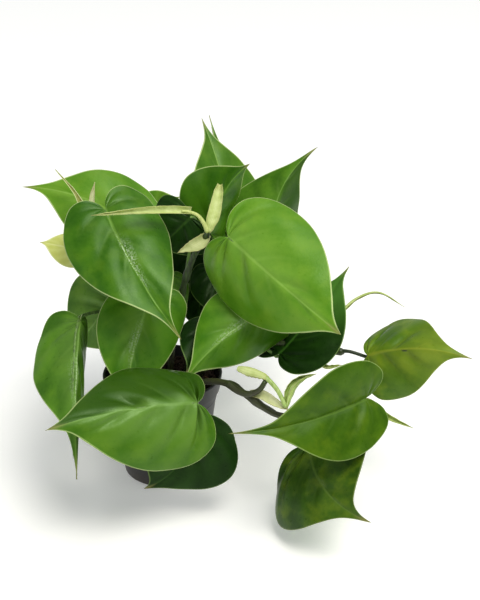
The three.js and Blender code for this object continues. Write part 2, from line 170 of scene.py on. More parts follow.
dusty = add_node(tree, "Mix", {"B": linear(POT_DUST), "Factor": dust_mask, "A": scuffed}, **COLOURS)
relief = add_node(tree, "Bump", {"Strength": 0.35, "Distance": 0.1 * MM, "Height": grain})
rough = add_node(tree, "MapRange", {"To Min": 0.38, "To Max": 0.6, "Value": scuffs})
fill(shader, {"Base Color": dusty, "Roughness": rough, "Normal": relief})

band_foot = POT_HEIGHT - POT_BAND_HEIGHT
ridge = band_foot - RIDGE_BELOW_BAND
bm = spun([
    (0, 0),
    (POT_FOOT_RADIUS - POT_EDGE, 0),
    (pot_radius(POT_EDGE), POT_EDGE),
    (pot_radius(ridge), ridge),
    (pot_radius(ridge) + STACKING_RIDGE, ridge + RIDGE_SLOPE),
    (pot_radius(ridge) + STACKING_RIDGE, ridge + RIDGE_WIDTH - RIDGE_SLOPE),
    (pot_radius(ridge + RIDGE_WIDTH), ridge + RIDGE_WIDTH),
    (pot_radius(band_foot), band_foot),
    (pot_radius(band_foot) + POT_BAND_STEP, band_foot + POT_EDGE),
    (POT_RIM_RADIUS, POT_HEIGHT - POT_EDGE),
    (POT_RIM_RADIUS - POT_EDGE / 2, POT_HEIGHT),
    (POT_RIM_RADIUS - POT_EDGE / 2 - POT_WALL, POT_HEIGHT),
    (pot_radius(band_foot) + POT_BAND_STEP - POT_WALL, band_foot + 2 * POT_EDGE),
    (pot_radius(band_foot) - POT_WALL, band_foot),
    (pot_radius(POT_FLOOR) - POT_WALL, POT_FLOOR),
    (0, POT_FLOOR),
], POT_SIDES)
corners = [edge for edge in bm.edges if edge.calc_face_angle(0) > math.radians(20)]
bmesh.ops.bevel(
    bm, geom=corners, offset=POT_ROUNDING, segments=3, profile=0.5, affect="EDGES", material=-1,
    clamp_overlap=True)
pot = new_piece("pot_moulded", bm, [polypropylene], "pot")

bm = bmesh.new()
for i in range(DRAIN_COUNT):
    angle = (i + 0.5) / DRAIN_COUNT * math.tau
    centre = Vector((math.cos(angle), math.sin(angle), 0)) * DRAIN_RING_RADIUS + Vector((0, 0, POT_FLOOR / 2))
    bmesh.ops.create_cone(
        bm, cap_ends=True, segments=32, radius1=DRAIN_RADIUS, radius2=DRAIN_RADIUS, depth=3 * POT_FLOOR,
        matrix=Matrix.Translation(centre))
drill = new_object("drill", mesh_of("drill", bm))
cut = pot.modifiers.new("drains", "BOOLEAN")
cut.object = drill
cut.operation = "DIFFERENCE"
cut.solver = "EXACT"
depsgraph = bpy.context.evaluated_depsgraph_get()
drained = bpy.data.meshes.new_from_object(pot.evaluated_get(depsgraph))
pot.modifiers.clear()
pot.data = drained
bpy.data.objects.remove(drill)


# Soil
# Peat and bark mix that fills the pot to a little below its rim, with grains of perlite.
# One body with a crumbled top, pressed against the wall, and loose crumbs sunk halfway into it.
SOIL_LEVEL = 61
SOIL_CRUMB = 1.1
SOIL_RIPPLES = [         # waves along x and y (radians a millimetre), phase and share of the crumb height
    (0.71, 0.63, 0.4, 0.5),
    (0.71, -0.63, 0.4, 0.5),
    (0.37, -0.92, 1.3, 0.6),
    (1.13, 0.55, 1.6, 0.5),
]
SOIL_GRAIN = 1.6
SOIL_GRAIN_HEIGHT = 0.7
SOIL_GAP = 0.3
SOIL_RINGS = 44
PEAT = ("#1d140d", "#3a2a1d")
BARK = ("#3b2416", "#6a452b")
PERLITE = ("#a9a498", "#dcd9cf")
PEAT_CRUMBS, BARK_CHIPS, PERLITE_GRAINS = 620, 60, 46


def soil_height(x, y):
    """The crumbled surface, with grains finer than the solid's ripples."""
    height = SOIL_LEVEL
    for along_x, along_y, phase, share in SOIL_RIPPLES:
        height += SOIL_CRUMB * share * math.sin(along_x * x + along_y * y + phase)
    return height + SOIL_GRAIN_HEIGHT * noise.noise(Vector((x, y, 0)) / SOIL_GRAIN)


def grainy(name, colours, size, roughness):
    """A dull crumbly material of two mixed colours, with grains of the size in millimetres."""
    made, tree, shader = new_material(name, roughness=roughness, ior=1.4)
    place = add_node(tree, "TexCoord").outputs["Object"]
    grains = add_node(
        tree, "TexNoise", {"Scale": 1 / (size * MM), "Detail": 8, "Roughness": 0.75, "Vector": place})
    mask = add_node(tree, "MapRange", {"From Min": 0.35, "From Max": 0.7, "Value": grains})
    mix = add_node(tree, "Mix", {"A": linear(colours[0]), "B": linear(colours[1]), "Factor": mask}, **COLOURS)
    relief = add_node(tree, "Bump", {"Strength": 0.8, "Distance": 0.4 * MM, "Height": grains})
    fill(shader, {"Base Color": mix, "Normal": relief})
    return made


# Damp peat: almost black, fibrous, with no gloss. Composted bark: red-brown and a little smoother.
# Perlite: expanded volcanic glass, off-white and matt.
peat = grainy("damp_peat", PEAT, 2.5, 0.95)
bark = grainy("composted_bark", BARK, 1.5, 0.8)
perlite = grainy("expanded_perlite", PERLITE, 1.2, 0.9)

wall_inside = pot_radius(band_foot) + POT_BAND_STEP - POT_WALL - SOIL_GAP
profile = [
    (0, POT_FLOOR + SOIL_GAP),
    (pot_radius(POT_FLOOR) - POT_WALL - SOIL_GAP, POT_FLOOR + SOIL_GAP),
    (pot_radius(band_foot) - POT_WALL - SOIL_GAP, band_foot),
    (wall_inside, band_foot + 2),
]
profile += [(wall_inside * (1 - i / SOIL_RINGS), SOIL_LEVEL) for i in range(SOIL_RINGS + 1)]
bm = spun(profile, POT_SIDES)
for vert in bm.verts:
    if vert.co.z > band_foot + 3:
        vert.co.z = soil_height(vert.co.x, vert.co.y)
scatter = random.Random(11)
for index, (count, low, high, squash) in enumerate([
        (PEAT_CRUMBS, 0.5, 1.5, 0.8), (BARK_CHIPS, 1.2, 2.6, 0.4), (PERLITE_GRAINS, 0.5, 1.1, 0.9)]):
    for i in range(count):
        angle = scatter.uniform(0, math.tau)
        radius = (wall_inside - 1) * math.sqrt(scatter.random())
        x, y = radius * math.cos(angle), radius * math.sin(angle)
        size = scatter.uniform(low, high)
        turn = Quaternion([scatter.gauss(0, 1) for axis in range(4)]).normalized()
        stretch = Vector((size * scatter.uniform(0.8, 1.7), size, size * squash))
        crumb = bmesh.ops.create_icosphere(
            bm, subdivisions=1, radius=1,
            matrix=Matrix.LocRotScale(Vector((x, y, soil_height(x, y) + 0.2 * size)), turn, stretch))["verts"]
        for vert in crumb:
            vert.co += noise.noise_vector(vert.co / 0.8) * 0.25 * size
        for face in {face for vert in crumb for face in vert.link_faces}:
            face.material_index = index
new_piece("potting_mix", bm, [peat, bark, perlite], "soil")


# Stems
# Nine round shoots rooted deep in the soil. Each has a thicker joint with a ring scar wherever a leaf
# grew, and short root nubs at some joints. Smooth living tissue, browner and corkier near the soil.
STEM_RADIUS = 2.1
STEM_JOINT = 0.35
STEM_JOINT_REACH = 7.5
STEM_TAPER = 0.2
STEM_END = 0.6
STEM_SIDES = 16
STEM_STEP = 1.6
SCAR_HEIGHT = 0.09
SCAR_WIDTH = 0.9
SCAR_FROM_JOINT = 2.4
NUB_REACHES, NUB_RADII = (1.6, 2.6, 3.4, 4.1), (0.75, 0.7, 0.5, 0.15)
NUB_LOWEST = 70          # no nubs on the buried and shaded foot, nor on the soft last tenth
NUB_LAST = 0.9
NUB_SKIPPED = 0.4
CURVE_STEPS = 200        # straight steps in which a curve's length is measured
STEM_ROUTES = {
    "stem_left": [(-14, -6, 41), (-16, -5, 62), (-21, 7, 90), (-29, 14, 116), (-37, 16, 140)],
    "stem_back_left": [(-7, 11, 41), (-8, 13, 62), (-9, 22, 92), (-8, 31, 122), (-5, 36, 146)],
    "stem_middle": [(3, 2, 41), (4, 4, 62), (8, 10, 95), (15, 13, 125), (23, 10, 147), (29, 6, 158)],
    "stem_upright": [(12, 7, 41), (14, 9, 62), (25, 16, 92), (38, 21, 120), (48, 26, 142), (55, 35, 157)],
    "stem_right": [(19, -3, 41), (20, -3, 62), (36, -1, 82), (62, -3, 90), (88, -10, 90), (110, -18, 91)],
    "stem_low_right": [
        (14, -14, 41), (16, -15, 62), (28, -27, 76), (43, -38, 80), (54, -46, 76), (70, -50, 67),
        (91, -50, 67), (112, -54, 75)],
    "stem_front": [(-2, -17, 41), (-2, -19, 62), (3, -32, 77), (12, -45, 78), (22, -52, 73)],
    "stem_back": [(0, 20, 41), (1, 22, 62), (2, 36, 84), (4, 52, 104), (6, 66, 120)],
    "stem_back_right": [(13, 17, 41), (16, 20, 62), (30, 32, 85), (48, 44, 106), (65, 55, 122)],
}

# Leaves: name, stem, place along it, base, tip, width, and the pose in degrees: which way round the
# pot the blade faces, roll about its midrib, fold of both halves, bow across, droop along. Then the
# midrib's sideways bulge in millimetres, how much of the length the narrow tip takes, and the finish
# of the upper face. The leaves at the back share one pose, and some inner ones another.
BACK_POSE = (0, 10, 45, 24, 0, 0)
INNER_POSE = (0, 0, 10, 50, 20, 0, 0)
LEAVES = [
    ("leaf_crown_left", "stem_left", 0.78, (-31, 10, 171), (15, -46, 114), 64,
        0, -20, 20, 60, 18, 4, 0.1, "sunlit"),
    ("leaf_crown_right", "stem_upright", 0.86, (41, -9, 161), (103, -60, 124), 80,
        0, 14, -3, 50, 18, 0, -0.12, "fresh"),
    ("leaf_far_left", "stem_back_left", 0.96, (-15, 31, 149), (-88, 53, 170), 61,
        0, 10, -4, 38, 8, 7, 0.12, "fresh"),
    ("leaf_top", "stem_back_right", 0.94, (46, 81, 128), (22, 126, 194), 60,
        0, 36, 10, 24, 14, 0, 0.1, "tender"),
    ("leaf_top_front", "stem_upright", 0.7, (30, 32, 147), (54, 66, 181), 56,
        0, 46, -9, 30, 11, -8, 0, "clean"),
    ("leaf_top_right", "stem_back_right", 0.77, (69, 50, 123), (99, 96, 183), 74,
        0, 12, -37, 10, 5, -12, 0.2, "parted"),
    ("leaf_behind_bud", "stem_middle", 0.72, (18, 22, 161), (-2, 22, 140), 46,
        0, 0, 12, 50, 20, 0, 0, "shaded"),
    ("leaf_under_left", "stem_middle", 0.5, (4, 24, 122), (10, -6, 94), 44,
        0, -30, 0, 60, 12, 4, 0, "mature"),
    ("leaf_shaded_left", "stem_left", 0.5, (-31, 20, 107), (-58, 25, 71), 58, *INNER_POSE, "even"),
    ("leaf_hanging_left", "stem_left", 0.62, (-45, -21, 113), (-42, -87, 48), 63,
        0, -34, -44, 30, 24, 4, 0.3, "mature"),
    ("leaf_middle_left", "stem_middle", 0.62, (-5, -3, 120), (-19, -38, 62), 52,
        0, -14, 14, 40, 18, 4, 0, "inner"),
    ("leaf_front", "stem_front", 0.9, (24, -62, 82), (-56, -92, 83), 78,
        0, 23, -15, 40, 20, 2, 0, "broad"),
    ("leaf_front_under", "stem_front", 0.97, (22, -49, 66), (-9, -55, 19), 66,
        0, -4, 6, 30, 30, -8, 0, "shaded"),
    ("leaf_middle_right", "stem_right", 0.45, (68, -8, 116), (15, -34, 80), 54,
        0, -5, -15, 32, 24, 5, 0, "inner"),
    ("leaf_shaded_right", "stem_right", 0.55, (72, -12, 87), (115, 23, 129), 60,
        0, -50, 10, 50, 0, 3, 0.08, "lit"),
    ("leaf_far_right", "stem_right", 0.97, (123, -26, 93), (179, -49, 103), 66,
        0, -15, -26, 30, 36, -4, 0.2, "mottled"),
    ("leaf_low_right", "stem_low_right", 0.97, (118, -64, 86), (42, -97, 84), 55,
        0, -10, 30, 30, 20, -3, 0.34, "dull"),
    ("leaf_hanging_right", "stem_low_right", 0.58, (88, -55, 49), (118, -111, 37), 80,
        0, 10, 12, 50, 18, 8, 0.2, "old"),
    ("leaf_back_high", "stem_back", 0.95, (-4, 72, 140), (-16, 124, 114), 54, 185, *BACK_POSE, "sunlit"),
    ("leaf_back_left_high", "stem_back_left", 0.85, (-32, 56, 136), (-70, 90, 114), 50,
        215, *BACK_POSE, "fresh"),
    ("leaf_back_left", "stem_back_left", 0.6, (-26, 50, 112), (-62, 82, 84), 54, 225, *BACK_POSE, "mature"),
    ("leaf_back_low", "stem_back", 0.7, (0, 70, 96), (-4, 112, 62), 58, 185, *BACK_POSE, "mature"),
    ("leaf_back_right_high", "stem_back_right", 0.96, (75, 92, 101), (101, 124, 76), 54,
        150, *BACK_POSE, "sunlit"),
    ("leaf_back_right", "stem_back_right", 0.7, (58, 66, 94), (84, 106, 66), 56, 150, *BACK_POSE, "mature"),
    ("leaf_back_low_left", "stem_back", 0.4, (-22, 44, 88), (-46, 76, 46), 52, 215, *BACK_POSE, "mature"),
    ("leaf_back_low_right", "stem_back_right", 0.45, (36, 52, 84), (48, 88, 42), 54,
        160, *BACK_POSE, "mottled"),
    ("leaf_inner_middle", "stem_upright", 0.4, (32, 40, 120), (32, 14, 95), 34, *INNER_POSE, "shaded"),
    ("leaf_inner_right", "stem_right", 0.25, (30, 2, 98), (16, -28, 82), 32, *INNER_POSE, "shaded"),
    ("leaf_top_behind", "stem_back", 0.9, (38, 108, 134), (27, 138, 193), 30,
        0, 65, 10, 30, 12, 0, 0.2, "mature"),
    ("leaf_tuft", "stem_back_left", 0.9, (-9, 55, 152), (10, 61, 161), 26,
        0, 0, 10, 30, 12, 0, 0, "fresh"),
    ("leaf_inner_back", "stem_back", 0.5, (16, 53, 136), (13, 42, 104), 46,
        0, 0, 10, 40, 16, 0, 0, "shaded"),
    ("leaf_young_left", "stem_left", 0.88, (-47, 16, 142), (-74, 23, 145), 24,
        0, 20, 10, 40, 10, 0, 0, "young"),
    ("leaf_inner_low", "stem_back", 0.58, (22, 50, 104), (22, 40, 73), 32,
        0, 0, 10, 40, 14, 0, 0, "shaded"),
]


def curve_point(points, t):
    """A point on a centripetal Catmull-Rom curve, which passes through its points without loops."""
    place = (len(points) - 1) * t
    i = min(int(place), len(points) - 2)
    w = place - i
    b, c = points[i], points[i + 1]
    a = points[i - 1] if i else 2 * b - c
    d = points[i + 2] if i + 2 < len(points) else 2 * c - b
    ab, bc, cd = (math.sqrt((q - p).length) for p, q in ((a, b), (b, c), (c, d)))
    leave = ((b - a) / ab - (c - a) / (ab + bc) + (c - b) / bc) * bc
    arrive = ((c - b) / bc - (d - b) / (bc + cd) + (d - c) / cd) * bc
    return (
        b + w * leave + w * w * (3 * (c - b) - 2 * leave - arrive)
        + w ** 3 * (2 * (b - c) + leave + arrive))


def even_route(points, steps):
    """Points spaced evenly along the curve through the given ones."""
    points = [Vector(point) for point in points]
    fine = [curve_point(points, i / CURVE_STEPS) for i in range(CURVE_STEPS + 1)]
    lengths = [0]
    for p, q in zip(fine, fine[1:]):
        lengths.append(lengths[-1] + (q - p).length)
    route, k = [], 0
    for i in range(steps + 1):
        wanted = lengths[-1] * i / steps
        while k < CURVE_STEPS - 1 and lengths[k + 1] < wanted:
            k += 1
        route.append(fine[k].lerp(fine[k + 1], (wanted - lengths[k]) / (lengths[k + 1] - lengths[k])))
    return route


def length_of(route):
    return sum((q - p).length for p, q in zip(route, route[1:]))


def tangents_of(route):
    ends = [route[0]] + route + [route[-1]]
    return [(after - before).normalized() for before, after in zip(ends, ends[2:])]


def sweep(bm, route, radii, sides, skin=0):
    """Extrudes a ring along the route, as wide as the radius at each point, and closes both ends."""
    tangents = tangents_of(route)
    turn = tangents[0].to_track_quat("Z", "Y")
    places = []
    for i, (point, radius) in enumerate(zip(route, radii)):
        if i:
            turn = tangents[i - 1].rotation_difference(tangents[i]) @ turn
        places.append(Matrix.LocRotScale(point, turn, Vector((radius, radius, radius))))
    ring = bmesh.ops.create_circle(bm, segments=sides, radius=1, matrix=places[0])["verts"]
    made = list(ring)
    edges = list({edge for vert in ring for edge in vert.link_edges})
    bmesh.ops.edgeloop_fill(bm, edges=edges)
    for before, after in zip(places, places[1:]):
        geom = bmesh.ops.extrude_edge_only(bm, edges=edges)["geom"]
        verts = {item for item in geom if isinstance(item, bmesh.types.BMVert)}
        edges = [
            item for item in geom
            if isinstance(item, bmesh.types.BMEdge) and verts.issuperset(item.verts)]
        bmesh.ops.transform(bm, matrix=after @ before.inverted(), verts=list(verts))
        made += verts
    bmesh.ops.edgeloop_fill(bm, edges=edges)
    for face in {face for vert in made for face in vert.link_faces}:
        face.material_index = skin


# Living stem tissue: smooth and satin, mid green towards the tips, brown and corky near the soil,
# with fine lengthwise streaks.
STEM_GREEN = "#415c22"
STEM_DARK = "#212d15"
STEM_CORK = "#35351c"
ROOT_TAN = "#8a6b44"


def stem_tissue(name, green, dark, cork, cork_height):
    """Waxy stem skin. Below the cork height in millimetres it turns to the cork colour."""
    made, tree, shader = new_material(name, roughness=0.42, ior=1.45)
    place = add_node(tree, "TexCoord").outputs["Object"]
    stretch = add_node(tree, "Mapping", {"Scale": (1, 1, 0.25), "Vector": place})
    streaks = add_node(tree, "TexNoise", {"Scale": 1 / (1.5 * MM), "Detail": 5, "Vector": stretch})
    patches = add_node(tree, "TexNoise", {"Scale": 1 / (9 * MM), "Detail": 3, "Vector": place})
    streak_mask = add_node(tree, "MapRange", {"From Min": 0.35, "From Max": 0.7, "Value": streaks})
    skin = add_node(tree, "Mix", {"A": linear(dark), "B": linear(green), "Factor": streak_mask}, **COLOURS)
    height = add_node(tree, "SeparateXYZ", {"Vector": place})
    uneven = add_node(tree, "Math", {1: 26 * MM, 2: -13 * MM, 0: patches}, operation="MULTIPLY_ADD")
    level = add_node(tree, "Math", {0: height.outputs["Z"], 1: uneven}, operation="ADD")
    cork_mask = add_node(
        tree, "MapRange",
        {"From Min": cork_height * MM, "From Max": (cork_height + 22) * MM, "To Min": 0.85, "To Max": 0,
         "Value": level}, **SMOOTH)
    mix = add_node(tree, "Mix", {"B": linear(cork), "Factor": cork_mask, "A": skin}, **COLOURS)
    relief = add_node(tree, "Bump", {"Strength": 0.4, "Distance": 0.15 * MM, "Height": streaks})
    fill(shader, {"Base Color": mix, "Normal": relief})
    return made


stem_skin = stem_tissue("waxy_stem_skin", STEM_GREEN, STEM_DARK, STEM_CORK, 80)
root_skin = stem_tissue("dry_root_nub", ROOT_TAN, STEM_CORK, STEM_CORK, 60)

BRACT_JOINTS = {
    "stem_middle": [0.98, 0.9, 0.94], "stem_left": [0.89, 0.98], "stem_right": [0.94, 0.85],
    "stem_low_right": [0.46, 0.98],
}
grow = random.Random(5)
stem_lines = {}
for name, points in STEM_ROUTES.items():
    steps = round(length_of(even_route(points, 60)) / STEM_STEP)
    route = even_route(points, steps)
    length = length_of(route)
    stem_lines[name] = route
    joints = [row[2] for row in LEAVES if row[1] == name] + BRACT_JOINTS.get(name, [])
    radii = []
    for i in range(steps + 1):
        share = i / steps
        away = min(abs(share - joint) for joint in joints) * length
        swell = STEM_JOINT * max(1 - away / STEM_JOINT_REACH, 0) ** 1.5
        scar = SCAR_HEIGHT * math.exp(-((away - SCAR_FROM_JOINT) / SCAR_WIDTH) ** 2)
        radii.append(STEM_RADIUS * (1 + swell + scar - STEM_TAPER * share))
    radii[-1] *= STEM_END
    bm = bmesh.new()
    sweep(bm, route, radii, STEM_SIDES)
    for joint in joints:
        i = round(joint * steps)
        if joint > NUB_LAST or route[i].z < NUB_LOWEST or grow.random() < NUB_SKIPPED:
            continue
        along = (route[i] - route[i - 1]).normalized()
        side = along.cross(Vector((grow.uniform(-1, 1), grow.uniform(-1, 1), -0.4))).normalized()
        nub = [route[i] + side * reach + Vector((0, 0, -0.12 * reach)) for reach in NUB_REACHES]
        sweep(bm, nub, NUB_RADII, 8, skin=1)
    bmesh.ops.recalc_face_normals(bm, faces=bm.faces)
    new_piece(name + "_shoot", bm, [stem_skin, root_skin], name)


# Leaves
# Each is a heart-shaped blade on a round stalk, which comes up behind it and runs on beneath as the
# midrib. Waxy living tissue, about 0.5 mm thick, pleated between its side veins, with a thin pale rim.
BLADE_THICKNESS = 0.5
BLADE_ROWS = 76
BLADE_COLUMNS = 44
LIGHT_HEIGHT = 25
HALF_OUTLINE = [         # shares of half the width and of the length, from the notch to the tip
    (0, 0), (0.1, -0.06), (0.32, -0.11), (0.61, -0.1), (0.87, 0), (0.99, 0.145), (0.975, 0.315),
    (0.84, 0.475), (0.63, 0.62), (0.37, 0.745), (0.16, 0.84), (0.055, 0.92), (0, 1)]
VEIN_START = 0.4
VEIN_SPREAD = 1.3
SIDE_VEINS = 7           # on each half of a blade
VEIN_ARCH = 0.09         # how far a side vein bends towards the tip, as a share of the rows
PLEAT = 1.6
DEEPNESS = {
    "leaf_front": 2.5, "leaf_crown_right": 1.2, "leaf_crown_left": 0.6, "leaf_low_right": 0.5,
    "leaf_top": 0.6}
CROWDING = 0.45          # how much closer a blade's columns lie at its midrib and its margin
GROOVE = 0.4
GROOVE_WIDTH = 1.3
RIM_WAVE = 0.7
RIM_WIDTH = 0.5
STALK_RADIUS = 1.15
STALK_SIDES = 10
STALK_STEPS = 34
STALK_BEND = 0.36
STALK_ARRIVAL = (0, -0.65, -0.75)
MIDRIB_SHARES = (0.08, 0.16, 0.3, 0.45, 0.6, 0.75, 0.88)
MIDRIB_END = 0.2


def outline_point(t):
    """Half of the leaf's outline, a uniform Catmull-Rom curve through its points."""
    last = len(HALF_OUTLINE) - 1
    i = min(int(last * t), last - 1)
    w = last * t - i
    a, b, c, d = (
        Vector(HALF_OUTLINE[k]) for k in (max(i - 1, 0), i, i + 1, min(i + 2, last)))
    straight, bend = (c - a) / 2, a - 2.5 * b + 2 * c - 0.5 * d
    return b + w * straight + w * w * bend + w ** 3 * (1.5 * (b - c) + 0.5 * (d - a))


def leaf_form(base, tip, width, look, roll, fold, bow, droop, sway, drip):
    """The blade's place and bends. Flat, its notch is at the origin and its tip along +Y."""
    turn = math.radians(max(droop, 1))
    chord = Vector(tip) - Vector(base)
    along = chord.normalized()
    around, up = math.radians(look), math.radians(LIGHT_HEIGHT)
    light = Vector((math.sin(around) * math.cos(up), -math.cos(around) * math.cos(up), math.sin(up)))
    face = (light - along * light.dot(along)).normalized()
    face.rotate(Quaternion(along, math.radians(roll)))
    place = Matrix((along.cross(face), along, face)).transposed().to_4x4()
    place = Matrix.Translation(base) @ place @ Matrix.Rotation(turn / 2, 4, "X")
    return {
        "width": width, "length": chord.length * turn / 2 / math.sin(turn / 2), "turn": turn, "sway": sway,
        "fold": math.radians(fold), "curl": math.radians(bow) / (width / 2), "drip": drip, "place": place,
    }


def blade_point(form, x, y, z):
    """Where a point of the flat blade lies once the blade is bowed, drooped and put in place."""
    fold, curl = form["fold"], form["curl"]
    lean = fold - curl * abs(x)
    out = (math.sin(fold) - math.sin(lean)) / curl - z * math.sin(lean)
    up = (math.cos(lean) - math.cos(fold)) / curl + z * math.cos(lean)
    share = max(y / form["length"], 0)
    angle = form["turn"] * share
    radius = form["length"] / form["turn"]
    across = math.copysign(out, x) + form["sway"] * 4 * share * (1 - share)
    if y > 0:
        y = (radius + up) * math.sin(angle)
        up = (radius + up) * math.cos(angle) - radius
    return form["place"] @ Vector((across, y, up))


def crowded(across):
    """Moves a column of a blade, from -1 to 1 across it, towards the midrib or the margin."""
    return across - CROWDING * math.sin(math.tau * across) / math.tau


def vein_phase(q, t):
    """Whole at each side vein. The veins arch towards the tip and alternate from side to side."""
    return SIDE_VEINS * (t - VEIN_ARCH * q * q) + (0.25 if q > 0 else -0.25)


def shell(bm, verts, others, below):
    """Gives a bent grid its thickness. below maps each place on it to the place on its other face."""
    bmesh.ops.remove_doubles(bm, verts=verts, dist=1e-3)
    made = bmesh.ops.extrude_face_region(bm, geom=[face for face in bm.faces if face not in others])["geom"]
    for item in made:
        if isinstance(item, bmesh.types.BMVert):
            item.co = below[tuple(item.co)]
        if isinstance(item, bmesh.types.BMFace):
            item.material_index = 1
    bmesh.ops.recalc_face_normals(bm, faces=[face for face in bm.faces if face not in others])


def blade(bm, form, seed, deepness, uv_layer, rib_layer, rim_layer):
    """A fine grid bent to the blade's form, with pleats, a midrib groove and a waved margin."""
    vary = random.Random(seed)
    waves, start = vary.uniform(2.2, 3.4), vary.uniform(0, math.tau)
    amount = RIM_WAVE * vary.uniform(0.6, 1.3)
    offset = Vector([vary.uniform(0, 50) for axis in range(3)])
    half_width, length = form["width"] / 2, form["length"]
    size = min(half_width / 30, 1)
    others = set(bm.faces)
    verts = bmesh.ops.create_grid(
        bm, x_segments=BLADE_COLUMNS, y_segments=BLADE_ROWS, size=1, calc_uvs=True)["verts"]
    edges, below = {}, {}
    for vert in verts:
        q, t = crowded(vert.co.x), round((vert.co.y + 1) / 2, 6)
        if t not in edges:
            edges[t] = outline_point(t)
            edges[t].y -= form["drip"] * max(edges[t].y, 0) ** 2 * (1 - edges[t].y ** 4)
        edge = edges[t]
        root = max((t - VEIN_START) / (1 - VEIN_START), 0) ** VEIN_SPREAD
        x = q * edge.x * half_width
        y = (root + (edge.y - root) * abs(q)) * length
        share = min(max(y / length, 0), 1)
        away = abs(q)
        phase = vein_phase(q, t)
        to_vein = abs(phase - round(phase))
        # The veins lie in narrow furrows, deep at the midrib and gone towards the margin.
        pleat = -0.85 * math.exp(-(to_vein / 0.15) ** 2) - 0.5 * math.cos(math.tau * phase)
        depth = 0.7 + 1.4 * noise.noise(Vector((0.9 * phase, 3 * math.copysign(1, x), seed)))
        reach = min(math.hypot(x, y - root * length) / 7, 1) * (1 - away) ** 1.4
        pleat *= PLEAT * deepness * size * max(depth, 0.15) * reach * min(1.6 * edge.x, 1)
        groove = -GROOVE * size * math.exp(-(x / GROOVE_WIDTH) ** 2) * (1 - 0.6 * share)
        margin = amount * size * away ** 4 * math.sin(math.tau * waves * t + start + (1.3 if x > 0 else 0))
        margin *= min(edge.x * 2, 1)
        dents = 0.8 * size * noise.noise(Vector((x, y, 0)) / 17 + offset)
        height = pleat + groove + margin + dents
        vert.co = blade_point(form, x, y, height + BLADE_THICKNESS / 2)
        below[tuple(vert.co)] = blade_point(form, x, y, height - BLADE_THICKNESS / 2)
        vert[rib_layer] = abs(x) / (0.25 + 0.75 * (1 - share) ** 1.4)
        rim_width = max(min(RIM_WIDTH, 0.3 * edge.x * half_width), 0.02)
        vert[rim_layer] = (1 - away) * edge.x * half_width / rim_width + max(0.6 - 2 * edge.x, 0)
    for face in bm.faces:
        if face in others:
            continue
        for loop in face.loops:
            loop[uv_layer].uv.x = 0.5 + 0.5 * crowded(2 * loop[uv_layer].uv.x - 1)
    shell(bm, verts, others, below)


def stalk(bm, form, stem, at):
    """The stalk leaves its stem, comes up behind the blade and runs on under it as the midrib."""
    line = stem_lines[stem]
    place = at * (len(line) - 1)
    i = min(int(place), len(line) - 2)
    start = line[i].lerp(line[i + 1], place - i)
    end = blade_point(form, 0, 0, -STALK_RADIUS)
    direction = (form["place"].to_3x3() @ Vector(STALK_ARRIVAL)).normalized()
    reach = STALK_BEND * (end - start).length
    first = start.lerp(end, STALK_BEND) + Vector((0, 0, reach / 2))
    second = end + direction * reach
    points = []
    for i in range(5):
        w = i / 4
        points.append(
            (1 - w) ** 3 * start + 3 * w * (1 - w) ** 2 * first + 3 * w * w * (1 - w) * second + w ** 3 * end)
    free = length_of(even_route(points, STALK_STEPS))
    depth = BLADE_THICKNESS / 2 + GROOVE + max(-math.tan(form["fold"]), 0) * STALK_RADIUS
    for share in MIDRIB_SHARES:
        radius = STALK_RADIUS + (MIDRIB_END - STALK_RADIUS) * share ** 0.7
        points.append(blade_point(form, 0, share * form["length"], -depth - 0.55 * radius))
    route = even_route(points, STALK_STEPS)
    total = length_of(route)
    radii = []
    for i in range(STALK_STEPS + 1):
        gone = i / STALK_STEPS * total
        sheath = 0.55 * max(1 - gone / (0.3 * free), 0) ** 1.5
        under = max((gone - free) / (total - free), 0)
        radii.append(STALK_RADIUS * (0.92 + sheath) + (MIDRIB_END - STALK_RADIUS) * (0.9 * under) ** 0.7)
    radii[-1] = MIDRIB_END / 2
    sweep(bm, route, radii, STALK_SIDES, skin=2)


